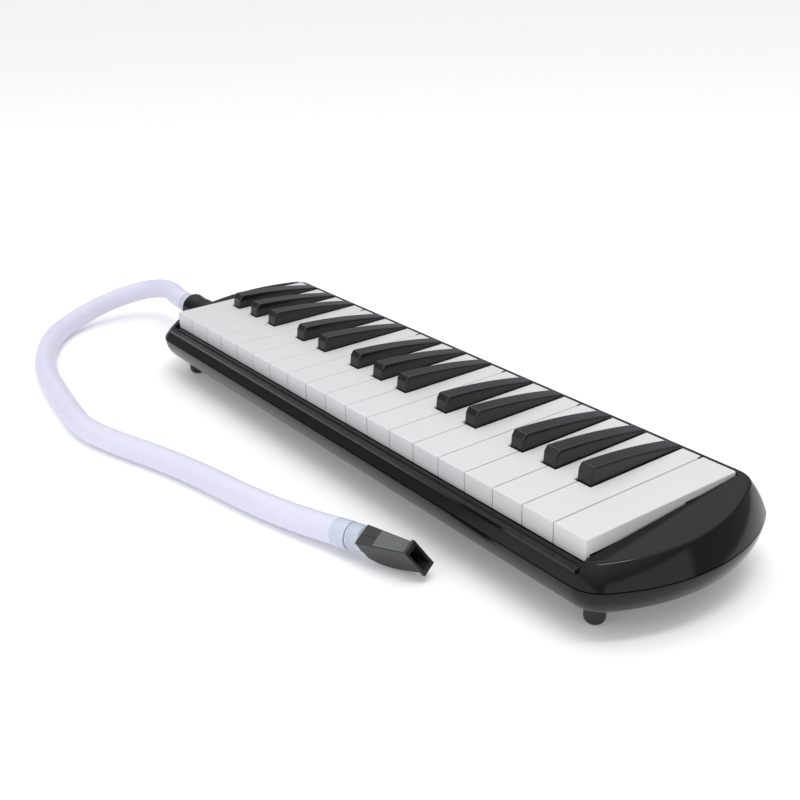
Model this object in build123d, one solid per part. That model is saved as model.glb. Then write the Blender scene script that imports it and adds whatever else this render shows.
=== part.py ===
from build123d import *
import math
import os

# A 32-key melodica, F3 to C6, with its blowing hose and mouthpiece.  Millimetres.
# +X runs up the keyboard, +Y to the back of the case, +Z up.  The origin is at the middle of
# the case on the surface that the four feet stand on.

# ---- driving dimensions -------------------------------------------------------------------
PITCH = 20.0             # white key spacing
WHITES = 19
KEY_GAP = 0.6            # gap between neighbouring white keys
KEY_TOP = 45.0           # height of the white key tops above the floor
KEY_FRONT = -49.2        # y of the white key front faces
KEY_REAR = 45.9          # y of the white key rear edges
APRON_BOTTOM = 34.3      # z of the bottom of the white key front face
BLACK_WIDTH = 9.2
BLACK_SLOT = 10.5        # width of the cut-out that a black key stands in
BLACK_FRONT = -14.4
BLACK_HEIGHT = 8.3       # black key front edge above the white key tops

CASE_LENGTH = 439.0
CASE_DEPTH = 118.0
CASE_BOTTOM = 11.8       # z of the flat underside
SEAM_Z = 27.4            # parting line of the two shells
SEAM_GROOVE = 0.6
WALL = 2.2
END_RADIUS = 95.0        # plan radius of the bowed ends
CORNER_RADIUS = 17.0
RIM_Z = 34.8             # front ledge before the keys
TOP_MID_Z = 40.2         # height of the sloping top plane at y = 0
TOP_SLOPE = 4.0          # degrees, rising to the back
RIDGE_INSET = 8.4        # the top plane's edge, in from the widest outline
BELLY_INSET = 12.4       # the flat underside's edge, in from the widest outline

PIVOT_Y = 18.0
PIVOT_Z = 37.0
ROD_RADIUS = 1.5
ROD_CLEARANCE = 0.05
PAD_Y = 38.0
BOARD_TOP = 30.0         # the surface that the valve pads close
PAD_GAP = 0.1

FOOT_RADIUS = 5.0
FOOT_X = 188.0
FOOT_Y = 40.8

HOSE_RADIUS = 7.0
INLET = (-15.7, 28.7)    # y and z of the inlet axis
CONNECTOR_END = -236.8   # x of the connector's open end
MOUTH_ROLL = 25.0        # degrees that it leans to the front

# The hose leaves the connector level, comes down to the floor and runs back along the front
# of the case to the mouthpiece.
HOSE_ROUTE = [
    (-238.8, -15.7, 28.7),
    (-262.0, -15.7, 28.7),
    (-291.0, -9.5, 28.3),
    (-318.5, -19.5, 22.5),
    (-331.5, -46.5, 14.5),
    (-325.0, -75.5, 8.4),
    (-304.5, -98.5, 7.3),
    (-273.0, -116.0, 7.3),
    (-239.5, -127.8, 7.3),
    (-204.0, -133.6, 7.3),
    (-170.0, -138.6, 7.3),
    (-136.3, -142.5, 7.3),
    (-104.0, -135.0, 7.3),
    (-70.0, -124.0, 7.3),
    (-35.0, -115.6, 7.3),
    (2.0, -109.5, 7.3),
    (40.0, -101.4, 8.0),
    (75.9, -91.4, 11.0),
]

NOTES = ["f", "fs", "g", "gs", "a", "as", "b", "c", "cs", "d", "ds", "e"]
KEY_COUNT = 32
HALF_KEYS = WHITES * PITCH / 2
TOP_KEY_LEVER = 6.0      # the top key's lever, in from its left edge


# ---- keyboard layout ----------------------------------------------------------------------
def key_table():
    """Every key from F3 up: name, black or white, white index and tail slot edges."""
    keys = []
    white = 0
    slot_left = 0.0
    for step in range(KEY_COUNT):
        note = NOTES[step % 12]
        octave = 3 + (step + 5) // 12
        in_f_group = note in ("f", "fs", "g", "gs", "a", "as", "b")
        slot = PITCH * (4 / 7 if in_f_group else 3 / 5)
        if step == KEY_COUNT - 1:
            slot = PITCH
        keys.append({
            "name": f"key_{note}{octave}",
            "black": note.endswith("s"),
            "white": white,
            "left": slot_left - HALF_KEYS,
            "right": slot_left + slot - HALF_KEYS,
        })
        slot_left += slot
        if not note.endswith("s"):
            white += 1
    return keys


def centre(key):
    return (key["left"] + key["right"]) / 2


def lever_x(key):
    """The x of the lever under a key: the top key's sits over its narrow left part."""
    if key["name"] == "key_c6":
        return key["left"] + TOP_KEY_LEVER
    return centre(key)


def block(x0, x1, y0, y1, z0, z1):
    """A box between two corners."""
    return Pos(x0, y0, z0) * Box(x1 - x0, y1 - y0, z1 - z0, align=(Align.MIN,) * 3)


def rod_x(x0, x1, y, z, radius):
    """A round bar along X."""
    turned = Rot(0, 90, 0) * Cylinder(radius, x1 - x0, align=(Align.CENTER, Align.CENTER, Align.MIN))
    return Pos(x0, y, z) * turned


def post(x, y, z0, z1, radius):
    """A round bar along Z."""
    return Pos(x, y, z0) * Cylinder(radius, z1 - z0, align=(Align.CENTER, Align.CENTER, Align.MIN))


# ---- keys ---------------------------------------------------------------------------------
HUB_WIDTH = 6.4
SKIRT_Z = 37.2
SKIN = 1.8
RELIEF = (12.0, 24.0)    # y span where the skirts are cut away for the pivot uprights
RELIEF_TOP = 41.0        # z of the top of those cut-aways, below the case's top plane


def lever(key):
    """Pivot hub and valve arm under a key's tail."""
    x = lever_x(key)
    half = HUB_WIDTH / 2
    hub = block(x - half, x + half, PIVOT_Y - 3.6, PIVOT_Y + 3.6, 33.6, 43.0)
    arm = block(x - half, x + half, PAD_Y - 4.5, PAD_Y + 4.5, 32.0, 43.0)
    pad = block(x - 4.4, x + 4.4, PAD_Y - 7.2, PAD_Y + 7.2, BOARD_TOP + PAD_GAP, 32.0)
    bore = rod_x(x - 8, x + 8, PIVOT_Y, PIVOT_Z, ROD_RADIUS + ROD_CLEARANCE)
    return hub + arm + pad, bore


def white_outline(key, blacks, inset):
    """Plan outline of a white key, with the corners cut away beside black keys."""
    left = key["white"] * PITCH - HALF_KEYS + KEY_GAP / 2
    right = left + PITCH - KEY_GAP
    shape = block(left + inset, right - inset, KEY_FRONT + inset, KEY_REAR - inset, 0, 1)
    for other in blacks:
        x = centre(other)
        near = left - BLACK_SLOT < x < right + BLACK_SLOT
        if near and (abs(x - left) < PITCH / 2 or abs(x - right) < PITCH / 2):
            half = BLACK_SLOT / 2 + inset
            shape -= block(x - half, x + half, BLACK_FRONT - 0.7 - inset, KEY_REAR + 1, -1, 2)
    return shape


def white_key(key, blacks):
    """Hollow white key: top, skirts and a deeper front apron, with its lever."""
    face = white_outline(key, blacks, 0).faces().sort_by(Axis.Z)[-1]
    inner = white_outline(key, blacks, SKIN).faces().sort_by(Axis.Z)[-1]
    body = Pos(0, 0, SKIRT_Z - 1) * extrude(face, KEY_TOP - SKIRT_Z)
    left = key["white"] * PITCH - HALF_KEYS + KEY_GAP / 2
    right = left + PITCH - KEY_GAP
    body += block(left, right, KEY_FRONT, KEY_FRONT + 2.2, APRON_BOTTOM, KEY_TOP - 4)
    edges = body.edges().filter_by(GeomType.LINE)
    top_edges = edges.filter_by(lambda e: abs(e.center().Z - KEY_TOP) < 0.01)
    visible = top_edges.filter_by(lambda e: e.center().Y < KEY_REAR - 0.1)
    body = fillet(visible, 0.7)
    hollow = Pos(0, 0, SKIRT_Z - 2) * extrude(inner, KEY_TOP - SKIRT_Z - 1.4)
    body -= hollow
    body -= block(left - 1, right + 1, RELIEF[0], RELIEF[1], SKIRT_Z - 1, RELIEF_TOP)
    under, bore = lever(key)
    return (body + under) - bore


def black_key(key):
    """Black key: steep front with a bevelled brow, long top that falls to the back."""
    x = centre(key)
    half = BLACK_WIDTH / 2
    top = KEY_TOP + BLACK_HEIGHT
    brow = (BLACK_FRONT + 0.6, top - 2.9)
    crown = (BLACK_FRONT + 2.6, top)
    profile = Plane.YZ * make_face([
        Line((BLACK_FRONT, 38.5), (BLACK_FRONT, KEY_TOP)),
        Line((BLACK_FRONT, KEY_TOP), brow),
        Line(brow, crown),
        ThreePointArc(crown, (18.0, KEY_TOP + 5.7), (KEY_REAR, KEY_TOP + 1.0)),
        Line((KEY_REAR, KEY_TOP + 1.0), (KEY_REAR, 38.5)),
        Line((KEY_REAR, 38.5), (BLACK_FRONT, 38.5)),
    ])
    body = Pos(x - half, 0, 0) * extrude(profile, BLACK_WIDTH, dir=(1, 0, 0))
    upper = body.edges().filter_by(lambda e: e.center().Z > KEY_TOP + 1.2)
    upper = upper.filter_by(lambda e: e.center().Y < KEY_REAR - 0.1)
    body = fillet(upper, 1.2)
    body -= block(x - half + 1.5, x + half - 1.5, BLACK_FRONT + 2.2, KEY_REAR - 1.5, 37, 43.0)
    under, bore = lever(key)
    return (body + under) - bore


# ---- case shells --------------------------------------------------------------------------
def outline(inset, plane):
    """The case's plan outline, a rectangle with bowed ends and rounded corners."""
    half_x = CASE_LENGTH / 2 - inset
    half_y = CASE_DEPTH / 2 - inset
    end_r = END_RADIUS - inset
    corner = CORNER_RADIUS - inset * 0.6
    corner_x = half_x - end_r + math.sqrt(end_r ** 2 - half_y ** 2)
    edges = [
        Line((-corner_x, -half_y), (corner_x, -half_y)),
        ThreePointArc((corner_x, -half_y), (half_x, 0), (corner_x, half_y)),
        Line((corner_x, half_y), (-corner_x, half_y)),
        ThreePointArc((-corner_x, half_y), (-half_x, 0), (-corner_x, -half_y)),
    ]
    face = make_face(edges)
    face = fillet(face.vertices(), corner)
    return plane * face


def level(z, tilt=0.0):
    """A plane at height z over the case's middle, tipped up to the back by tilt degrees."""
    return Plane(origin=(0, 0, z), z_dir=(0, -math.sin(math.radians(tilt)),
                                          math.cos(math.radians(tilt))), x_dir=(1, 0, 0))


BANDS = 6                # straight-sided bands that make up a curved shell wall
RIDGE_ANGLE = 66.0       # degrees round the curve of the wall at the upper ridge


def upper_form(inset, drop):
    """The domed form of the upper shell, inset for its inner surface."""
    sections = []
    for step in range(BANDS + 1):
        angle = math.radians(RIDGE_ANGLE) * step / BANDS
        out = (1 - math.cos(angle)) / (1 - math.cos(math.radians(RIDGE_ANGLE)))
        up = math.sin(angle) / math.sin(math.radians(RIDGE_ANGLE))
        z = SEAM_Z + (TOP_MID_Z - drop - SEAM_Z) * up
        sections.append(outline(inset + RIDGE_INSET * out, level(z, TOP_SLOPE * up)))
    return loft(sections, ruled=True)


def lower_form(inset, rise):
    """The boat-shaped form of the lower shell, a quarter ellipse from seam to underside."""
    top = SEAM_Z - SEAM_GROOVE
    depth = top - CASE_BOTTOM - rise
    sections = []
    for step in range(BANDS + 1):
        angle = math.radians(90.0) * step / BANDS
        z = top - depth * math.sin(angle)
        sections.append(outline(inset + BELLY_INSET * (1 - math.cos(angle)), level(z)))
    return loft(sections, ruled=True)


WINDOW = (-HALF_KEYS - 0.7, HALF_KEYS + 0.7, KEY_FRONT - 1.6, KEY_REAR + 0.8)
SKIRT_BOTTOM = 35.2      # z of the lower edge of the window's end skirts
BOSS_SPOTS = [(-199.0, -36.0), (202.0, -36.0), (-197.5, 47.5), (202.0, 36.0)]


def upper_case():
    """Upper shell with the keyboard window, the front ledge with its rim, and screw bosses."""
    shell = upper_form(0, 0) - upper_form(WALL, WALL)
    front = -CASE_DEPTH / 2
    x0, x1, y0, y1 = WINDOW
    shell -= block(x0, x1, y0, y1, SEAM_Z - 5, 60)
    shell -= block(x0, x1, front - 2, y0 + 0.01, RIM_Z, 60)
    # ledge floor, level, a little below the rim
    ledge = block(x0, x1, front + 2.5, y0, RIM_Z - 2.6, RIM_Z - 0.8)
    shell += ledge & upper_form(0, 0)
    # skirts that close the window's ends and back down to the seam
    for side in (-1, 1):
        inner = side * x1
        outer = side * (x1 + 1.8)
        wall = block(min(inner, outer), max(inner, outer), y0, y1, SKIRT_BOTTOM, 44)
        shell += wall & upper_form(0, 0)
    for x, y in BOSS_SPOTS:
        boss = post(x, y, SEAM_Z, TOP_MID_Z, 3.6) & upper_form(WALL / 2, WALL / 2)
        shell += boss
        shell -= post(x, y, SEAM_Z - 1, 35.0, 1.3)
    y, z = INLET
    shell -= rod_x(-CASE_LENGTH / 2 - 5, -200, y, z, 9.6)
    return shell


def lower_case():
    """Lower shell: floor, walls with a locating lip, screw bosses, felt rail."""
    shell = lower_form(0, 0)
    hollow = lower_form(WALL, WALL)
    seat = SEAM_Z - SEAM_GROOVE
    shell -= hollow
    lip = extrude(outline(1.0, level(seat)), SEAM_GROOVE)
    lip -= extrude(outline(WALL, level(seat - 1)), 3)
    shell += lip
    rail = block(-188, 188, -44.0, -40.0, 13.0, 31.0)
    shell += rail
    for x, y in BOSS_SPOTS:
        shell += post(x, y, 13.0, SEAM_Z, 3.6)
        shell -= post(x, y, 10, 16.0, 3.0)
        shell -= post(x, y, 15, 30, 1.6)
    for x, y in FLOOR_SCREWS:
        shell -= post(x, y, 10, 13.0, 2.7)
        shell -= post(x, y, 12, 15, 1.3)
    for x in (-FOOT_X, FOOT_X):
        for y in (-FOOT_Y, FOOT_Y):
            shell -= post(x, y, 11, 14.6, 2.0)
    shell -= post(DRAIN[0], DRAIN[1], 10, 15, 4.8)
    y, z = INLET
    shell -= rod_x(-CASE_LENGTH / 2 - 5, -200, y, z, 9.6)
    return shell


FLOOR_SCREWS = [(x, y) for x in (-150.0, 0.0, 150.0) for y in (18.0, 38.5)]
DRAIN = (176.0, 33.0)


def feet():
    """Four domed peg feet, each with a stud through the floor."""
    pegs = []
    for x in (-FOOT_X, FOOT_X):
        for y in (-FOOT_Y, FOOT_Y):
            peg = post(x, y, 0, CASE_BOTTOM, FOOT_RADIUS)
            rim = peg.edges().filter_by(GeomType.CIRCLE).sort_by(Axis.Z)[0]
            peg = fillet(rim, 3.6)
            pegs.append(peg + post(x, y, CASE_BOTTOM, 14.4, 2.0))
    return Compound(children=pegs)


def case_screws():
    """Four screws from below that hold the shells together."""
    screws = []
    for x, y in BOSS_SPOTS:
        head = post(x, y, 14.4, 16.0, 2.7)
        head -= block(x - 2, x + 2, y - 0.3, y + 0.3, 14.3, 15.2)
        screws.append(head + post(x, y, 16.0, 34.0, 1.3))
    return Compound(children=screws)


def floor_screws():
    """Six screws from below: three hold the key bed and three hold the wind chest."""
    screws = []
    for x, y in FLOOR_SCREWS:
        head = post(x, y, 11.9, 13.0, 2.5)
        head -= block(x - 1.8, x + 1.8, y - 0.3, y + 0.3, 11.8, 12.5)
        screws.append(head + post(x, y, 13.0, 18.5, 1.1))
    return Compound(children=screws)


# ---- action -------------------------------------------------------------------------------
def uprights_x(keys):
    """The x of every upright of the key bed: at the slot edges."""
    return [key["left"] for key in keys] + [keys[-1]["left"] + 2 * TOP_KEY_LEVER]


def key_bed(keys):
    """Rail on legs, with an upright between neighbouring keys that carries the pivot rod."""
    bed = block(-HALF_KEYS - 0.2, HALF_KEYS, 12.4, 23.6, 30.2, 32.8)
    for x in (-150.0, -75.0, 0.0, 75.0, 150.0):
        bed += block(x - 4, x + 4, 14.0, 22.0, CASE_BOTTOM + WALL, 30.2)
    for x in uprights_x(keys):
        shift = 0.8 if x < -HALF_KEYS + 1 else 0.0
        bed += block(x + shift - 0.8, x + shift + 0.8, 15.0, 21.0, 32.8, 40.2)
    for x in (-150.0, 0.0, 150.0):
        bed -= post(x, 18.0, 12, 19.5, 1.1)
    return bed - rod_x(-HALF_KEYS - 1, HALF_KEYS + 1, PIVOT_Y, PIVOT_Z, ROD_RADIUS)


def pivot_rod():
    return rod_x(-HALF_KEYS - 0.2, HALF_KEYS, PIVOT_Y, PIVOT_Z, ROD_RADIUS)


def key_springs(keys):
    """A strip of leaf springs on the key bed, one finger up under every key."""
    comb = [block(-HALF_KEYS, HALF_KEYS - 1, 12.4, 14.6, 32.8, 33.2)]
    rise = 41.6 - 33.0
    run = 18.0
    angle = math.degrees(math.atan2(rise, run))
    for key in keys:
        length = math.hypot(rise, run)
        leaf = Box(2.4, length, 0.35, align=(Align.CENTER, Align.MAX, Align.MIN))
        comb.append(Pos(lever_x(key), 13.0, 32.9) * Rot(-angle, 0, 0) * leaf)
    return Part() + comb


def valve_board(keys):
    """Top of the wind chest: a valve hole and a reed cell for every key."""
    board = block(-192, 192, 26.0, 50.6, 24.0, BOARD_TOP)
    board -= block(-190.6, 190.6, 27.4, 49.2, 23.0, 25.2)
    cells = []
    for key in keys:
        x = lever_x(key)
        cells.append(block(x - 4.2, x + 4.2, 28.8, 47.8, 24.0, 27.0))
        cells.append(block(x - 2.6, x + 2.6, PAD_Y - 5.5, PAD_Y + 5.5, 26.0, 31.0))
    board -= cells
    board -= [post(x, y, 24, 27.5, 0.8) for x, y in reed_screw_spots(keys)]
    return board


def reed_screw_spots(keys):
    """Screws through the reed plates into the walls between the cells."""
    spots = []
    for index in (1, 6, 11, 15, 17, 22, 27, 31):
        for y in (31.0, 45.5):
            spots.append((keys[index]["left"], y))
    return spots


def reed_plate(keys, low):
    """Half of the reeds' brass plate, slotted under every reed."""
    half = keys[:16] if low else keys[16:]
    split = keys[16]["left"]
    x0 = -190.2 if low else split + 0.3
    x1 = split - 0.3 if low else 190.2
    plate = block(x0, x1, 27.8, 48.8, 24.0, 25.2)
    plate -= [slot_of(key, keys) for key in half]
    holes = [post(x, y, 23, 26, 0.9) for x, y in reed_screw_spots(keys) if x0 < x < x1]
    return plate - holes


def reed_length(key, keys):
    """Reeds shorten towards the treble."""
    return 15.0 - 7.0 * keys.index(key) / (KEY_COUNT - 1)


def slot_of(key, keys):
    x = lever_x(key)
    length = reed_length(key, keys)
    return block(x - 1.15, x + 1.15, 30.6, 30.6 + length, 23.5, 26)


def reeds(keys, low):
    """Brass tongues, each riveted at its front end over its slot."""
    half = keys[:16] if low else keys[16:]
    tongues = []
    for key in half:
        x = lever_x(key)
        length = reed_length(key, keys)
        tongues.append(block(x - 1.0, x + 1.0, 28.4, 30.2 + length, 23.75, 24.0))
    return Compound(children=tongues)


def reed_screws(keys):
    screws = []
    for x, y in reed_screw_spots(keys):
        screws.append(post(x, y, 23.1, 24.0, 1.4) + post(x, y, 24.0, 27.0, 0.8))
    return Compound(children=screws)


CHEST_TOP = 23.2


def chest_gasket():
    """Flat gasket between the valve board and the wind chest."""
    ring = block(-192, 192, 26.0, 50.6, CHEST_TOP, 24.0)
    return ring - block(-190.6, 190.6, 27.4, 49.2, 20, 25)


def wind_chest():
    """Tray that holds the breath under the reeds, on three posts."""
    tray = block(-192, 192, 26.0, 50.6, 18.0, CHEST_TOP)
    tray -= block(-190.6, 190.6, 27.4, 49.2, 19.6, 30)
    for x in (-150.0, 0.0, 150.0):
        tray += post(x, 38.5, CASE_BOTTOM + WALL, 18.0, 3.4)
        tray -= post(x, 38.5, 12, 19.0, 1.1)
    tray -= post(DRAIN[0], DRAIN[1], 17, 21, 2.1)
    tray -= block(-195, -189, 28.0, 38.4, 20.3, 22.6)
    return tray


def air_duct():
    """Box duct in the left end that takes the breath from the inlet back to the wind chest."""
    duct = block(-205.5, -192.0, -26.0, 39.8, 18.9, 35.0)
    duct -= block(-204.1, -193.4, -24.6, 38.4, 20.3, 33.6)
    duct -= rod_x(-207, -203, INLET[0], INLET[1], 5.0)
    duct -= block(-195, -190, 28.0, 38.4, 20.3, 22.6)
    return duct


def front_felt():
    """Felt strip that stops the keys at the bottom of their travel."""
    return block(-188, 188, -44.0, -40.0, 31.0, 32.6)


# ---- drain --------------------------------------------------------------------------------
def drain_button():
    """Push button under the case, with its stem into the wind chest."""
    x, y = DRAIN
    cap = post(x, y, 10.6, 14.2, 4.5)
    cap = fillet(cap.edges().filter_by(GeomType.CIRCLE).sort_by(Axis.Z)[0], 0.8)
    return cap + post(x, y, 14.2, 15.0, 6.2) + post(x, y, 15.0, 21.6, 2.0)


def drain_seal():
    """Rubber disc on the stem that closes the hole in the chest's floor."""
    x, y = DRAIN
    return post(x, y, 19.7, 21.2, 4.4) - post(x, y, 19, 22, 2.0)


def drain_spring():
    x, y = DRAIN
    coil = Pos(x, y, 15.2) * Helix(pitch=0.9, height=2.4, radius=3.3)
    start = Plane(origin=coil @ 0, z_dir=coil % 0)
    return sweep(start * Circle(0.2), path=coil, is_frenet=True)


# ---- inlet, hose and mouthpiece -----------------------------------------------------------
def inlet_socket():
    """Socket through the left end wall that the hose connector pushes into."""
    y, z = INLET
    return rod_x(-221.5, -205.5, y, z, 9.5) - rod_x(-223, -205, y, z, 6.0)


def hose_connector():
    """Black tapered connector on the end of the hose, with a spigot in the inlet socket."""
    y, z = INLET
    body = Cone(9.65, 8.6, 15.3, align=(Align.CENTER, Align.CENTER, Align.MIN))
    body = Pos(CONNECTOR_END, y, z) * Rot(0, 90, 0) * body
    edge = body.edges().filter_by(GeomType.CIRCLE).sort_by(Axis.X)[0]
    body = fillet(edge, 1.0)
    body += rod_x(-221.5, -211, y, z, 5.95)
    body -= rod_x(CONNECTOR_END - 1, CONNECTOR_END + 6, y, z, 6.0)
    return body - rod_x(-240, -200, y, z, 3.6)


def inlet_cuff():
    """Clear collar between the connector and the sleeve of the hose."""
    y, z = INLET
    return rod_x(CONNECTOR_END - 2.0, CONNECTOR_END + 6, y, z, 6.0) - rod_x(-240, -200, y, z, 3.6)


def route_radii(points):
    """Bend radius at every corner of a route, 0.45 of the shorter run over tan(half the turn)."""
    radii = []
    for before, here, after in zip(points, points[1:], points[2:]):
        first = Vector(here) - Vector(before)
        second = Vector(after) - Vector(here)
        turn = math.radians(first.get_angle(second))
        shorter = min(first.length, second.length)
        radii.append(0.45 * shorter / math.tan(turn / 2))
    return radii


def hose():
    """The hose's sleeve as a plain tube along its route."""
    radii = route_radii(HOSE_ROUTE)
    path = FilletPolyline(*HOSE_ROUTE, radius=radii)
    section = Plane(origin=path @ 0, z_dir=path % 0) * Circle(HOSE_RADIUS)
    tube = sweep(section, path=path)
    expected = math.pi * HOSE_RADIUS ** 2 * path.length
    print("hose radii", [round(radius) for radius in radii])
    print("hose length", round(path.length, 1), "volume ratio", round(tube.volume / expected, 4))
    return tube


def mouth_plane():
    """Frame of the mouthpiece: x along it, y across it, z out of its top."""
    before, end = [Vector(point) for point in HOSE_ROUTE[-2:]]
    along = (end - before).normalized()
    level_side = Vector(along.Y, -along.X, 0).normalized()
    up = along.cross(level_side * -1).normalized()
    roll = math.radians(MOUTH_ROLL)
    leaning = up * math.cos(roll) + level_side * math.sin(roll)
    return Plane(origin=end, x_dir=along, z_dir=leaning)


MOUTH_TOP = 4.6          # the flat top above the hose axis
MOUTH_REAR = 8.2         # x of the top's rear edge
MOUTH_HEEL = (11.5, -6.4)    # x and z where the raked rear face meets the belly
MOUTH_COLLAR = 37.6      # x of the top of the mouth's frame
MOUTH_TIP = (42.6, -9.2)     # x and z of the bottom of the mouth's frame
MOUTH_BORE = 3.9
GRIP_START = 18.0
GRIP_END = 36.0


def taper(x, margin=0.0):
    """Half width of the mouthpiece's top at x, less a margin."""
    return 6.0 - (x - MOUTH_REAR) / 12 - margin


def top_patch(margin, z0, z1):
    """A tapered slab under the grip's outline."""
    corners = [(GRIP_START, taper(GRIP_START, margin)), (GRIP_END, taper(GRIP_END, margin)),
               (GRIP_END, -taper(GRIP_END, margin)), (GRIP_START, -taper(GRIP_START, margin))]
    patch = make_face(Polyline(*corners, close=True))
    return Pos(0, 0, z0) * extrude(patch, z1 - z0)


def side_slab(points, half):
    """A slab of a side-view outline, x and z, from -half to half across."""
    return extrude(Plane.XZ * make_face(Polyline(*points, close=True)), half, both=True)


def mouth_cuff():
    """Clear cuff of the hose, its end raked to the mouthpiece's rear face, with a spigot in it."""
    rake = (MOUTH_HEEL[0] - MOUTH_REAR) / (MOUTH_TOP - MOUTH_HEEL[1])
    high = (MOUTH_REAR - rake * (8 - MOUTH_TOP), 8)
    low = (MOUTH_REAR + rake * (MOUTH_TOP + 9), -9)
    cuff = rod_x(0, 14.0, 0, 0, 6.2) - side_slab([high, (30, 8), (30, -9), low], 10)
    cuff += rod_x(4.0, 16.0, 0, 0, MOUTH_BORE)
    return mouth_plane().location * (cuff - rod_x(-1, 20, 0, 0, 2.9))


def mouthpiece():
    """Flat-topped mouthpiece with a bellied underside and a framed mouth in a raked end."""
    profile = Plane.XZ * make_face([
        Line((MOUTH_REAR, MOUTH_TOP), (MOUTH_COLLAR, MOUTH_TOP)),
        Line((MOUTH_COLLAR, MOUTH_TOP), MOUTH_TIP),
        Spline(MOUTH_TIP, (31.0, -10.4), (20.0, -10.2), MOUTH_HEEL),
        Line(MOUTH_HEEL, (MOUTH_REAR, MOUTH_TOP)),
    ])
    body = extrude(profile, taper(MOUTH_REAR), both=True)
    for side in (-1, 1):
        cheek = make_face(Polyline((0, side * taper(0)), (50, side * taper(50)), (50, side * 12),
                                   (0, side * 12), close=True))
        body -= Pos(0, 0, -20) * extrude(cheek, 40)
    body = fillet(body.edges().filter_by(lambda e: e.length > 12), 0.5)
    body -= top_patch(0.5, MOUTH_TOP - 0.7, MOUTH_TOP + 1)
    body += block(10.5, 16.8, -0.25, 0.25, MOUTH_TOP - 0.5, MOUTH_TOP + 0.3)
    frame = [(MOUTH_COLLAR - 1.5, MOUTH_TOP + 0.5), (MOUTH_COLLAR, MOUTH_TOP + 0.5),
             (MOUTH_TIP[0] + 0.1, MOUTH_TIP[1] - 0.6), (MOUTH_TIP[0] - 1.4, MOUTH_TIP[1] - 0.6)]
    body += side_slab(frame, 4.2)
    body -= rod_x(0, 16.0, 0, 0, MOUTH_BORE)
    body -= block(14, 50, -2.9, 2.9, -7.6, 3.0)
    return mouth_plane().location * body


def mouth_grip():
    """Grey ribbed grip let into the top of the mouthpiece."""
    panel = top_patch(0.5, MOUTH_TOP - 0.7, MOUTH_TOP + 0.1)
    for row in range(-3, 4):
        start = row * taper(GRIP_START, 1.0) / 3
        end = row * taper(GRIP_END, 1.0) / 3
        rib = make_face(Polyline((GRIP_START + 0.4, start - 0.22), (GRIP_END - 0.4, end - 0.22),
                                 (GRIP_END - 0.4, end + 0.22), (GRIP_START + 0.4, start + 0.22),
                                 close=True))
        panel += Pos(0, 0, MOUTH_TOP) * extrude(rib, 0.35)
    return mouth_plane().location * panel


# ---- write --------------------------------------------------------------------------------
def write(name, shape):
    export_step(shape, f"parts/{name}.step")


def main():
    os.makedirs("parts", exist_ok=True)
    keys = key_table()
    blacks = [key for key in keys if key["black"]]
    for key in keys:
        shape = black_key(key) if key["black"] else white_key(key, blacks)
        write(key["name"], shape)
    write("upper_case", upper_case())
    write("lower_case", lower_case())
    write("feet", feet())
    write("case_screws", case_screws())
    write("floor_screws", floor_screws())
    write("key_bed", key_bed(keys))
    write("pivot_rod", pivot_rod())
    write("key_springs", key_springs(keys))
    write("valve_board", valve_board(keys))
    write("reed_plate_low", reed_plate(keys, True))
    write("reed_plate_high", reed_plate(keys, False))
    write("reeds_low", reeds(keys, True))
    write("reeds_high", reeds(keys, False))
    write("reed_screws", reed_screws(keys))
    write("chest_gasket", chest_gasket())
    write("wind_chest", wind_chest())
    write("air_duct", air_duct())
    write("front_felt", front_felt())
    write("drain_button", drain_button())
    write("drain_seal", drain_seal())
    write("drain_spring", drain_spring())
    write("inlet_socket", inlet_socket())
    write("hose_connector", hose_connector())
    write("inlet_cuff", inlet_cuff())
    write("hose", hose())
    write("mouth_cuff", mouth_cuff())
    write("mouthpiece", mouthpiece())
    write("mouth_grip", mouth_grip())


if __name__ == "__main__":
    main()
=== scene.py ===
import bmesh
import bpy
import math
from mathutils import Matrix, Vector


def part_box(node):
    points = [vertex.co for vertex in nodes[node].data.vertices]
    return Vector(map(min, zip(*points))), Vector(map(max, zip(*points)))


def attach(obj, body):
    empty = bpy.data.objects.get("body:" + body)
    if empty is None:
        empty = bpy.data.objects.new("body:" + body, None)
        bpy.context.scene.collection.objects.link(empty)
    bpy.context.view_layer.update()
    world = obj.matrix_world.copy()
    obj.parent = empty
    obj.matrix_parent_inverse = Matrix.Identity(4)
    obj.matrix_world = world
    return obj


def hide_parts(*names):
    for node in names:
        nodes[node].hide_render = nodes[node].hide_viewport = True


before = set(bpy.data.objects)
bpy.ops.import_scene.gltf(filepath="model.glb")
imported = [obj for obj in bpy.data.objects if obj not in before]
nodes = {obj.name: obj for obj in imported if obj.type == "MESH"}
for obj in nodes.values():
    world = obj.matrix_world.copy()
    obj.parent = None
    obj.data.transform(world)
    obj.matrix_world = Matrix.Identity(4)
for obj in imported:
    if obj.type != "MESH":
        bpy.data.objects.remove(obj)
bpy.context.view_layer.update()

# A 32-key melodica on a pale floor.  Lengths are in metres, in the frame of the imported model:
# +X up the keyboard, +Y to the back of the case, +Z up.
MM = 0.001

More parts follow.
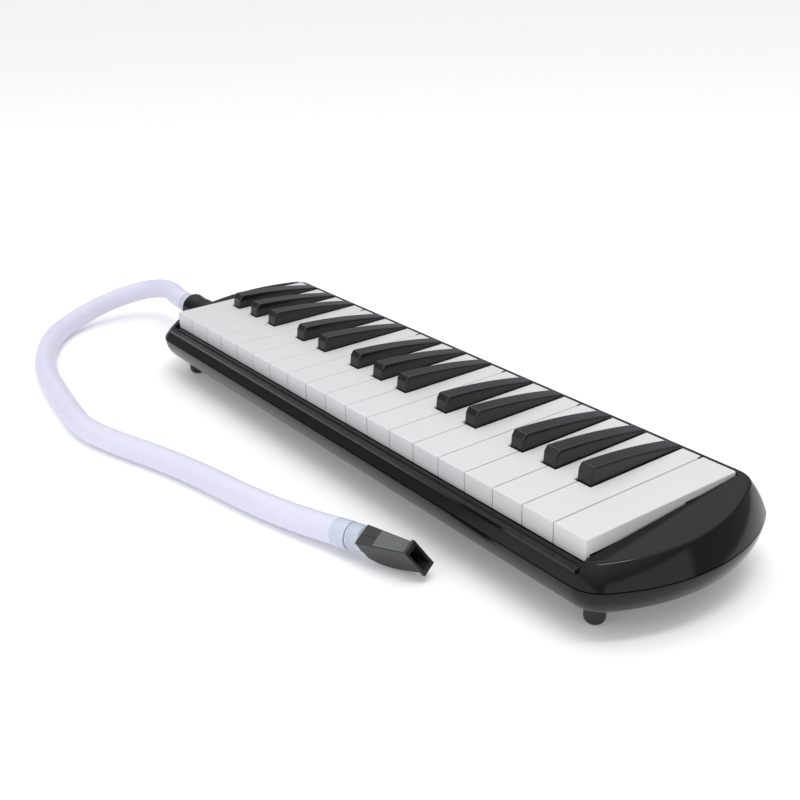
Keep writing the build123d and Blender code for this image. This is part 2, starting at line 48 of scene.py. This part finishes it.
# ---- sizes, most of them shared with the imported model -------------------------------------
SEAM_Z = 27.4 * MM
SEAM_GROOVE = 0.6 * MM
WALL = 2.2 * MM
CASE_LENGTH = 439.0 * MM
CASE_DEPTH = 118.0 * MM
CASE_BOTTOM = 11.8 * MM
END_RADIUS = 95.0 * MM
CORNER_RADIUS = 17.0 * MM
RIM_Z = 34.8 * MM
TOP_MID_Z = 40.2 * MM
TOP_SLOPE = math.radians(4.0)
RIDGE_INSET = 8.4 * MM
WALL_BOW = math.radians(10.0)    # half the turn of the upper wall's arc
RIDGE_ROUND = 1.2 * MM           # how far the ridge's rounding reaches to each side
BELLY_INSET = 12.4 * MM
HOSE_RADIUS = 7.0 * MM
INLET = Vector((0.0, -15.7, 28.7)) * MM    # the middle line of the inlet's bore, along x
INLET_BORE = 9.6 * MM
INLET_BORE_END = -0.2                      # how far the bore is cut into the shells, in x
LEDGE_DROP = 0.8 * MM                      # the front ledge's top, below the rim
LEDGE_THICK = 1.8 * MM
LEDGE_FRONT = 2.5 * MM                     # the ledge's front face, in from the case's side
FIN_HALF_WIDTH = 0.25 * MM
WHITE_KEYS = 19
GAPS_WITHOUT_BLACK = (4, 7, 11, 14, 18)    # white keys below each gap that has no black key

HOSE_ROUTE = [
    (-0.2388, -0.0157, 0.0287),
    (-0.2620, -0.0157, 0.0287),
    (-0.2910, -0.0095, 0.0283),
    (-0.3185, -0.0195, 0.0225),
    (-0.3315, -0.0465, 0.0145),
    (-0.3250, -0.0755, 0.0084),
    (-0.3045, -0.0985, 0.0073),
    (-0.2730, -0.1160, 0.0073),
    (-0.2395, -0.1278, 0.0073),
    (-0.2040, -0.1336, 0.0073),
    (-0.1700, -0.1386, 0.0073),
    (-0.1363, -0.1425, 0.0073),
    (-0.1040, -0.1350, 0.0073),
    (-0.0700, -0.1240, 0.0073),
    (-0.0350, -0.1156, 0.0073),
    (0.0020, -0.1095, 0.0073),
    (0.0400, -0.1014, 0.0080),
    (0.0759, -0.0914, 0.0110),
]


# ---- camera -------------------------------------------------------------------------------
def camera():
    """Three-quarter view from the treble end and a little above."""
    data = bpy.data.cameras.new("camera")
    data.lens = 50.6
    data.sensor_width = 36.0
    data.clip_start = 0.02
    data.clip_end = 20.0
    azimuth, elevation, roll = (math.radians(a) for a in (54.64, 23.84, -2.23))
    back = Vector((math.sin(azimuth) * math.cos(elevation),
                   -math.cos(azimuth) * math.cos(elevation), math.sin(elevation)))
    right = Vector((0, 0, 1)).cross(back).normalized()
    up = back.cross(right)
    rolled_right = math.cos(roll) * right + math.sin(roll) * up
    rolled_up = back.cross(rolled_right)
    place = Matrix((rolled_right, rolled_up, back)).transposed().to_4x4()
    place.translation = Vector((0.47273, -0.34162, 0.28830))
    item = bpy.data.objects.new("camera", data)
    item.matrix_world = place
    bpy.context.scene.collection.objects.link(item)
    bpy.context.scene.camera = item


# ---- materials ----------------------------------------------------------------------------
def tree(name):
    """A new material with its node tree and its Principled shader."""
    material = bpy.data.materials.new(name)
    material.use_nodes = True
    shader = material.node_tree.nodes["Principled BSDF"]
    return material, material.node_tree, shader


def object_noise(nt, scale, detail=3.0, stretch=(1, 1, 1)):
    """Noise in the row frame, so that it stays with the piece."""
    coords = nt.nodes.new("ShaderNodeTexCoord")
    mapping = nt.nodes.new("ShaderNodeMapping")
    mapping.inputs["Scale"].default_value = stretch
    noise = nt.nodes.new("ShaderNodeTexNoise")
    noise.inputs["Scale"].default_value = scale
    noise.inputs["Detail"].default_value = detail
    nt.links.new(coords.outputs["Object"], mapping.inputs["Vector"])
    nt.links.new(mapping.outputs["Vector"], noise.inputs["Vector"])
    return noise.outputs["Fac"]


def ranged(nt, factor, low, high):
    """factor spread over low to high."""
    spread = nt.nodes.new("ShaderNodeMapRange")
    spread.inputs["From Min"].default_value = 0.2
    spread.inputs["From Max"].default_value = 0.8
    spread.inputs["To Min"].default_value = low
    spread.inputs["To Max"].default_value = high
    nt.links.new(factor, spread.inputs["Value"])
    return spread.outputs["Result"]


def tinted(nt, factor, first, second):
    """A colour that goes from first to second with factor."""
    ramp = nt.nodes.new("ShaderNodeValToRGB")
    ramp.color_ramp.elements[0].position = 0.2
    ramp.color_ramp.elements[0].color = (*first, 1)
    ramp.color_ramp.elements[1].position = 0.8
    ramp.color_ramp.elements[1].color = (*second, 1)
    nt.links.new(factor, ramp.inputs["Fac"])
    return ramp.outputs["Color"]


def bumped(nt, shader, height, strength, distance):
    """Fine relief from a height."""
    bump = nt.nodes.new("ShaderNodeBump")
    bump.inputs["Strength"].default_value = strength
    bump.inputs["Distance"].default_value = distance
    nt.links.new(height, bump.inputs["Height"])
    nt.links.new(bump.outputs["Normal"], shader.inputs["Normal"])


def moulded(name, first, second, rough, grain=900.0, relief=0.000008, coat=0.0, **sockets):
    """Moulded plastic or rubber: cloudy tint, uneven polish and a fine grain."""
    material, nt, shader = tree(name)
    cloud = object_noise(nt, 22.0)
    nt.links.new(tinted(nt, cloud, first, second), shader.inputs["Base Color"])
    smear = object_noise(nt, 60.0, 6.0, (1, 2.5, 1))
    nt.links.new(ranged(nt, smear, *rough), shader.inputs["Roughness"])
    shader.inputs["Coat Weight"].default_value = coat
    shader.inputs["Coat Roughness"].default_value = 0.05
    for socket, value in sockets.items():
        shader.inputs[socket.replace("_", " ")].default_value = value
    bumped(nt, shader, object_noise(nt, grain, 2.0), 0.25, relief)
    return material


def metal(name, first, second, rough, stretch):
    """Drawn or rolled metal with fine lines along one direction."""
    material, nt, shader = tree(name)
    lines = object_noise(nt, 500.0, 4.0, stretch)
    nt.links.new(tinted(nt, lines, first, second), shader.inputs["Base Color"])
    nt.links.new(ranged(nt, lines, *rough), shader.inputs["Roughness"])
    shader.inputs["Metallic"].default_value = 1.0
    bumped(nt, shader, lines, 0.2, 0.00002)
    return material


def woolly(name, first, second):
    """Felt: matted fibres in a strong fine bump."""
    material, nt, shader = tree(name)
    fibre = object_noise(nt, 1400.0, 6.0, (1, 0.5, 2))
    nt.links.new(tinted(nt, fibre, first, second), shader.inputs["Base Color"])
    nt.links.new(ranged(nt, fibre, 0.85, 1.0), shader.inputs["Roughness"])
    shader.inputs["Sheen Weight"].default_value = 0.5
    bumped(nt, shader, fibre, 0.8, 0.0003)
    return material


gloss_black = moulded("case_black", (0.0040, 0.0042, 0.0046), (0.0060, 0.0062, 0.0066), (0.10, 0.16),
                      Specular_IOR_Level=0.24)
key_black = moulded("key_black", (0.0042, 0.0045, 0.0055), (0.0062, 0.0065, 0.0078), (0.14, 0.22),
                    Specular_IOR_Level=0.5)
key_white = moulded("key_white", (0.668, 0.668, 0.675), (0.688, 0.688, 0.692), (0.27, 0.33), grain=500.0,
                    relief=0.000004, Specular_IOR_Level=0.4)
sleeve = moulded("hose_sleeve", (0.66, 0.655, 0.79), (0.70, 0.695, 0.82), (0.42, 0.52), grain=420.0,
                 relief=0.00002, Subsurface_Weight=0.35, Subsurface_Scale=0.005)
clear = moulded("cuff_clear", (0.72, 0.78, 0.90), (0.80, 0.86, 0.95), (0.10, 0.18), relief=0.000005,
                Transmission_Weight=0.35, IOR=1.42)
mouth_black = moulded("mouth_black", (0.012, 0.012, 0.0125), (0.018, 0.018, 0.0185), (0.25, 0.34))
grip_grey = moulded("grip_grey", (0.105, 0.115, 0.110), (0.145, 0.155, 0.150), (0.35, 0.5))
rubber = moulded("foot_rubber", (0.012, 0.012, 0.013), (0.02, 0.02, 0.021), (0.45, 0.6), grain=1300.0,
                 relief=0.00005)
gasket = moulded("gasket_rubber", (0.12, 0.12, 0.12), (0.16, 0.16, 0.155), (0.6, 0.75))
bed_grey = moulded("bed_grey", (0.035, 0.035, 0.038), (0.05, 0.05, 0.053), (0.4, 0.55))
board_grey = moulded("board_grey", (0.36, 0.36, 0.34), (0.42, 0.42, 0.40), (0.4, 0.55))
steel = metal("steel", (0.42, 0.42, 0.43), (0.60, 0.60, 0.61), (0.22, 0.4), (0.05, 1, 1))
spring_steel = metal("spring_steel", (0.40, 0.40, 0.41), (0.55, 0.55, 0.56), (0.25, 0.4), (1, 0.05, 1))
brass = metal("brass", (0.55, 0.38, 0.13), (0.72, 0.53, 0.22), (0.22, 0.38), (0.05, 1, 1))
felt = woolly("felt_red", (0.20, 0.02, 0.025), (0.34, 0.05, 0.055))

CAD_FINISH = {
    "feet": rubber, "case_screws": steel, "floor_screws": steel, "key_bed": bed_grey, "pivot_rod": steel,
    "key_springs": spring_steel, "valve_board": board_grey, "reed_plate_low": brass,
    "reed_plate_high": brass, "reeds_low": brass, "reeds_high": brass, "reed_screws": brass,
    "chest_gasket": gasket, "wind_chest": board_grey, "air_duct": board_grey, "front_felt": felt,
    "drain_button": gloss_black, "drain_seal": gasket, "drain_spring": spring_steel,
    "inlet_socket": gloss_black, "hose_connector": gloss_black, "inlet_cuff": clear, "hose": sleeve,
    "mouth_cuff": clear, "mouthpiece": mouth_black, "mouth_grip": grip_grey,
    "upper_case": gloss_black, "lower_case": gloss_black,
}


def finish(item, material):
    """Gives a piece one material."""
    item.data.materials.clear()
    item.data.materials.append(material)


def smooth(mesh, degrees=28.0):
    """Smooth shading, except over edges sharper than an angle."""
    mesh.shade_smooth()
    mesh.set_sharp_from_angle(angle=math.radians(degrees))


def weighted(item):
    """Lets the large flat faces set the shading, so that only their rounded edges turn."""
    modifier = item.modifiers.new("weighted", "WEIGHTED_NORMAL")
    modifier.mode = "FACE_AREA"
    modifier.weight = 100
    modifier.keep_sharp = True


def finish_cad():
    """Every carried-over node gets its material, and shades smoothly where it is round."""
    for name, item in nodes.items():
        key = name.startswith("key_") and name not in CAD_FINISH
        black = key and name[:-1].endswith("s")
        finish(item, CAD_FINISH.get(name, key_black if black else key_white))
        smooth(item.data)
        weighted(item)


# ---- mesh helpers -------------------------------------------------------------------------
def new_piece(name, mesh, material, body):
    """A visible piece that rides on a body."""
    item = bpy.data.objects.new(name, mesh)
    bpy.context.scene.collection.objects.link(item)
    finish(item, material)
    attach(item, body)
    return item


def bevelled(item, width, degrees=30.0, segments=3):
    """Rounds the piece's sharp edges and applies the modifier."""
    modifier = item.modifiers.new("bevel", "BEVEL")
    modifier.width = width
    modifier.segments = segments
    modifier.limit_method = "ANGLE"
    modifier.angle_limit = math.radians(degrees)
    modifier.harden_normals = False
    modifier.use_clamp_overlap = True
    return apply_modifiers(item)


def apply_modifiers(item):
    """Swaps the piece's mesh for what its modifiers make of it."""
    graph = bpy.context.evaluated_depsgraph_get()
    mesh = bpy.data.meshes.new_from_object(item.evaluated_get(graph))
    item.modifiers.clear()
    item.data = mesh
    return item


def cut(item, cutters, operation="DIFFERENCE"):
    """Cuts or joins helper meshes with the piece, then removes the helpers."""
    helpers = []
    for mesh in cutters:
        helper = bpy.data.objects.new("helper", mesh)
        bpy.context.scene.collection.objects.link(helper)
        modifier = item.modifiers.new("cut", "BOOLEAN")
        modifier.operation = operation
        modifier.solver = "EXACT"
        modifier.object = helper
        helpers.append(helper)
    apply_modifiers(item)
    for helper in helpers:
        bpy.data.objects.remove(helper)
    return item


def box_mesh(low, high):
    """A block between two corners."""
    bm = bmesh.new()
    bmesh.ops.create_cube(bm, size=1.0)
    low, high = Vector(low), Vector(high)
    for vertex in bm.verts:
        vertex.co = Vector((low[i] + (vertex.co[i] + 0.5) * (high[i] - low[i]) for i in range(3)))
    mesh = bpy.data.meshes.new("block")
    bm.to_mesh(mesh)
    bm.free()
    return mesh


def joined(name, meshes):
    """One mesh from several."""
    bm = bmesh.new()
    for part in meshes:
        bm.from_mesh(part)
    mesh = bpy.data.meshes.new(name)
    bm.to_mesh(mesh)
    bm.free()
    return mesh


def lathe_mesh(profile, place, sides=72):
    """A closed outline of (along, radius) points turned about the x axis of a frame."""
    bm = bmesh.new()
    rings = []
    for step in range(sides):
        angle = 2 * math.pi * step / sides
        rings.append([bm.verts.new(place @ Vector((x, r * math.cos(angle), r * math.sin(angle))))
                      for x, r in profile])
    count = len(profile)
    for ring, after in zip(rings, rings[1:] + rings[:1]):
        for i in range(count):
            j = (i + 1) % count
            bm.faces.new((ring[i], ring[j], after[j], after[i]))
    bmesh.ops.recalc_face_normals(bm, faces=bm.faces)
    mesh = bpy.data.meshes.new("lathe")
    bm.to_mesh(mesh)
    bm.free()
    return mesh


def rod_mesh(start, end, radius, sides=48):
    """A round rod between two points."""
    start, end = Vector(start), Vector(end)
    bm = bmesh.new()
    bmesh.ops.create_cone(bm, cap_ends=True, segments=sides, radius1=radius, radius2=radius,
                          depth=(end - start).length)
    turn = (end - start).to_track_quat("Z", "Y").to_matrix().to_4x4()
    bmesh.ops.transform(bm, matrix=Matrix.Translation((start + end) / 2) @ turn, verts=bm.verts)
    mesh = bpy.data.meshes.new("rod")
    bm.to_mesh(mesh)
    bm.free()
    return mesh


# ---- case shells --------------------------------------------------------------------------
STRAIGHT_STEPS = 48
CORNER_STEPS = 14
END_STEPS = 30
ROUND_STEPS = 5


def outline(inset):
    """The case's plan outline at an inset: straight sides, bowed ends, rounded corners."""
    half_x = CASE_LENGTH / 2 - inset
    half_y = CASE_DEPTH / 2 - inset
    bow = END_RADIUS - inset
    corner = CORNER_RADIUS - inset * 0.6
    bow_x = half_x - bow
    corner_y = half_y - corner
    corner_x = bow_x + math.sqrt((bow - corner) ** 2 - corner_y ** 2)
    meet = math.atan2(corner_y, corner_x - bow_x)
    quarter = []
    for step in range(END_STEPS // 2):
        angle = meet * step / (END_STEPS // 2)
        quarter.append((bow_x + bow * math.cos(angle), bow * math.sin(angle)))
    for step in range(CORNER_STEPS + 1):
        angle = meet + (math.pi / 2 - meet) * step / CORNER_STEPS
        quarter.append((corner_x + corner * math.cos(angle), corner_y + corner * math.sin(angle)))
    half = list(quarter)
    for step in range(1, STRAIGHT_STEPS):
        half.append((corner_x * (1 - 2 * step / STRAIGHT_STEPS), half_y))
    half += [(-x, y) for x, y in reversed(quarter)]
    return half + [(x, -y) for x, y in reversed(half[1:-1])]


def tilted(ring, height, slope):
    """A ring of plan points set on a plane that rises to the back."""
    return [Vector((x, y, height + y * math.tan(slope))) for x, y in ring]


def ring_mesh(name, rings):
    """A closed mesh through rings of points, with flat caps on the first and last rings."""
    bm = bmesh.new()
    levels = [[bm.verts.new(point) for point in ring] for ring in rings]
    count = len(rings[0])
    for lower, upper in zip(levels, levels[1:]):
        for i in range(count):
            j = (i + 1) % count
            bm.faces.new((lower[i], lower[j], upper[j], upper[i]))
    bm.faces.new(reversed(levels[0]))
    bm.faces.new(levels[-1])
    bmesh.ops.recalc_face_normals(bm, faces=bm.faces)
    mesh = bpy.data.meshes.new(name)
    bm.to_mesh(mesh)
    bm.free()
    return mesh


def upper_rings(inset, drop, steps):
    """Rings up the arc of the upper shell's wall, from the seam to the rounded ridge."""
    rise = TOP_MID_Z - drop - SEAM_Z
    chord = math.hypot(RIDGE_INSET, rise)
    lean = math.atan2(RIDGE_INSET, rise)
    radius = chord / 2 / math.sin(WALL_BOW)
    start, end = lean - WALL_BOW, lean + WALL_BOW
    profile = []
    for step in range(steps + 1):
        turn = start + 2 * WALL_BOW * step / steps
        profile.append(Vector((radius * (math.cos(start) - math.cos(turn)),
                               radius * (math.sin(turn) - math.sin(start)))))
    ridge = profile[-1]
    profile = [point for point in profile if (ridge - point).length > RIDGE_ROUND]
    below = ridge - RIDGE_ROUND * Vector((math.sin(end), math.cos(end)))
    inside = ridge + RIDGE_ROUND * Vector((1, 0))
    for step in range(ROUND_STEPS + 1):
        along = step / ROUND_STEPS
        profile.append(below.lerp(ridge, along).lerp(ridge.lerp(inside, along), along))
    return [tilted(outline(inset + inward), SEAM_Z + up, TOP_SLOPE * up / rise)
            for inward, up in profile]


def lower_rings(inset, rise, steps):
    """Rings down the curved wall of the lower shell, from the seam to the underside."""
    top = SEAM_Z - SEAM_GROOVE
    depth = top - CASE_BOTTOM - rise
    rings = []
    for step in range(steps + 1):
        angle = math.pi / 2 * step / steps
        inward = inset + BELLY_INSET * (1 - math.cos(angle))
        rings.append(tilted(outline(inward), top - depth * math.sin(angle), 0.0))
    return rings


def key_window():
    """The plan box of the keyboard opening, from the keys' own boxes."""
    first_low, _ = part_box("key_f3")
    last_low, last_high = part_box("key_c6")
    return first_low.x - 1.0 * MM, last_high.x + 1.0 * MM, first_low.y - 1.6 * MM, last_high.y + 0.8 * MM


def inlet_cutter():
    """A rod that clears the inlet's bore through the bass end of a shell."""
    start, end = INLET.copy(), INLET.copy()
    start.x, end.x = -CASE_LENGTH / 2 - 5 * MM, INLET_BORE_END
    return rod_mesh(start, end, INLET_BORE)


def upper_shell():
    """The upper shell: a hollow form, open over the keys and cut down to the rim before them."""
    rings = list(reversed(upper_rings(WALL, WALL, 14)))
    rings = rings + upper_rings(0.0, 0.0, 22)
    item = new_piece("upper_shell", ring_mesh("upper_shell", rings), gloss_black, "case")
    x0, x1, y0, y1 = key_window()
    front = -CASE_DEPTH / 2
    top = 60 * MM
    hole = box_mesh((x0, y0, SEAM_Z - 5 * MM), (x1, y1, top))
    notch = box_mesh((x0, front - 2 * MM, RIM_Z), (x1, y0 + 0.01 * MM, top))
    cut(item, [hole, notch, inlet_cutter()])
    bevelled(item, 0.45 * MM, 20.0)
    smooth(item.data, 32.0)
    weighted(item)
    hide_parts("upper_case")
    return item


def window_trim():
    """The ledge before the keys, and fins into the gaps between keys that have no black key."""
    x0, x1, y0, y1 = key_window()
    key_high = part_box("key_c6")[1]
    pitch = key_high.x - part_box("key_b5")[1].x
    ledge_top = RIM_Z - LEDGE_DROP
    parts = [box_mesh((x0, LEDGE_FRONT - CASE_DEPTH / 2, ledge_top - LEDGE_THICK), (x1, y0, ledge_top))]
    for gap in GAPS_WITHOUT_BLACK:
        x = (gap - WHITE_KEYS / 2) * pitch
        parts.append(box_mesh((x - FIN_HALF_WIDTH, key_high.y - 2.4 * MM, key_high.z - 6 * MM),
                              (x + FIN_HALF_WIDTH, y1 + 0.4 * MM, key_high.z + 0.2 * MM)))
    item = new_piece("window_trim", joined("window_trim", parts), gloss_black, "case")
    return bevelled(item, 0.1 * MM, 40.0, 2)


def lower_shell():
    """The lower shell, with a lip that fills the seam and leaves a fine groove in it."""
    seat = SEAM_Z - SEAM_GROOVE
    rings = list(reversed(lower_rings(0.0, 0.0, 24)))
    rings.append(tilted(outline(1.0 * MM), seat, 0.0))
    rings.append(tilted(outline(1.0 * MM), SEAM_Z, 0.0))
    rings.append(tilted(outline(WALL), SEAM_Z, 0.0))
    rings += lower_rings(WALL, WALL, 14)
    item = new_piece("lower_shell", ring_mesh("lower_shell", rings), gloss_black, "case")
    cut(item, [inlet_cutter()])
    bevelled(item, 0.3 * MM, 40.0, 2)
    smooth(item.data, 32.0)
    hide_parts("lower_case")
    return item


# ---- hose ---------------------------------------------------------------------------------
def hose():
    """The hose's sleeve, one smooth curve along its route."""
    curve = bpy.data.curves.new("hose_sleeve", "CURVE")
    curve.dimensions = "3D"
    curve.resolution_u = 24
    curve.bevel_depth = HOSE_RADIUS
    curve.bevel_resolution = 10
    curve.use_fill_caps = True
    spline = curve.splines.new("NURBS")
    spline.points.add(len(HOSE_ROUTE) - 1)
    for point, place in zip(spline.points, HOSE_ROUTE):
        point.co = (*place, 1.0)
    spline.order_u = 3
    spline.use_endpoint_u = True
    item = new_piece("hose_sleeve", curve, sleeve, "case")
    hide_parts("hose")


def frame_at(origin, along, side):
    """A frame with x along, y to the side and z across both."""
    along = along.normalized()
    side = (side - side.dot(along) * along).normalized()
    place = Matrix((along, side, along.cross(side))).transposed().to_4x4()
    place.translation = origin
    return place


def hose_ends():
    """Clear ends of the hose: a band over the sleeve and moulded rings at each end."""
    first, second = (Vector(point) for point in HOSE_ROUTE[:2])
    before, last = (Vector(point) for point in HOSE_ROUTE[-2:])
    inlet = frame_at(first, first - second, Vector((0, 1, 0)))
    mouth = frame_at(last, last - before, Vector((0, 1, 0)))
    band = [(-9.0, 7.0), (-8.6, 7.2), (-0.4, 7.2), (0.0, 6.9), (0.0, 6.1), (-9.0, 6.1)]
    flange = [(0.1, 6.1), (0.1, 7.9), (0.4, 8.3), (1.5, 8.3), (1.9, 7.9), (1.9, 6.1)]
    rings = [(0.1, 6.0)]
    for start in (0.6, 2.3, 4.0):
        rings += [(start, 6.3), (start + 0.35, 6.9), (start + 1.0, 6.9), (start + 1.35, 6.3)]
    rings += [(6.2, 6.3), (6.2, 6.0)]
    for name, parts, place in (("inlet_end_rings", (band, flange), inlet),
                               ("mouth_end_rings", (band, rings), mouth)):
        meshes = [lathe_mesh([(x * MM, r * MM) for x, r in part], place) for part in parts]
        item = new_piece(name, joined(name, meshes), clear, "case")
        bevelled(item, 0.12 * MM, 25.0, 2)
        smooth(item.data, 35.0)


# ---- studio -------------------------------------------------------------------------------
CEILING_STRENGTH = 1.42
HORIZON_COLOUR = (0.24, 0.24, 0.26, 1)
CEILING_AXIS = (-0.15, 0.10, 0.98)    # the bright part of the ceiling leans away from the camera


FLOOR_HALF = 6.0
FLOOR_GLOW = 0.12    # keeps the far floor as bright as the near floor


def floor():
    """A wide pale floor that glows a little, as a lit table top does."""
    mesh = bpy.data.meshes.new("floor")
    corners = [(x * FLOOR_HALF, y * FLOOR_HALF, 0) for x, y in ((-1, -1), (1, -1), (1, 1), (-1, 1))]
    mesh.from_pydata(corners, [], [(0, 1, 2, 3)])
    item = bpy.data.objects.new("floor", mesh)
    bpy.context.scene.collection.objects.link(item)
    material, nt, shader = tree("floor_pale")
    shader.inputs["Base Color"].default_value = (0.93, 0.93, 0.935, 1)
    shader.inputs["Roughness"].default_value = 0.9
    shader.inputs["Emission Color"].default_value = (1, 1, 1, 1)
    shader.inputs["Emission Strength"].default_value = FLOOR_GLOW
    mesh.materials.append(material)


def softbox(name, place, target, size, power):
    """A rectangular soft light that faces a target."""
    data = bpy.data.lights.new(name, "AREA")
    data.shape = "RECTANGLE"
    data.size, data.size_y = size
    data.energy = power
    item = bpy.data.objects.new(name, data)
    item.location = place
    item.rotation_euler = (Vector(target) - Vector(place)).to_track_quat("-Z", "Y").to_euler()
    bpy.context.scene.collection.objects.link(item)


def studio():
    """A bright ceiling that darkens towards the horizon, as in a room with overhead soft light."""
    world = bpy.data.worlds.new("studio")
    world.use_nodes = True
    nt = world.node_tree
    coords = nt.nodes.new("ShaderNodeTexCoord")
    height = nt.nodes.new("ShaderNodeVectorMath")
    height.operation = "DOT_PRODUCT"
    height.inputs[1].default_value = CEILING_AXIS
    ramp = nt.nodes.new("ShaderNodeValToRGB")
    stops = ramp.color_ramp.elements
    stops[0].position = 0.56
    stops[0].color = HORIZON_COLOUR
    stops[1].position = 0.88
    stops[1].color = (1, 1, 1, 1)
    nt.links.new(coords.outputs["Generated"], height.inputs[0])
    nt.links.new(height.outputs["Value"], ramp.inputs["Fac"])
    nt.links.new(ramp.outputs["Color"], nt.nodes["Background"].inputs["Color"])
    nt.nodes["Background"].inputs["Strength"].default_value = CEILING_STRENGTH
    bpy.context.scene.world = world
    bpy.context.scene.view_settings.view_transform = "Standard"
    softbox("strip_light", (0.45, -0.15, 1.5), (0.1, 0, 0), (0.8, 0.2), 5.5)
    softbox("front_light", (0.0, -1.6, 0.7), (0, 0, 0.03), (2.8, 1.2), 8.6)
    softbox("side_light", (1.6, 0.0, 0.6), (0.15, 0, 0.03), (1.5, 1.0), 4.4)


camera()
hose()
finish_cad()
upper_shell()
window_trim()
lower_shell()
hose_ends()
floor()
studio()
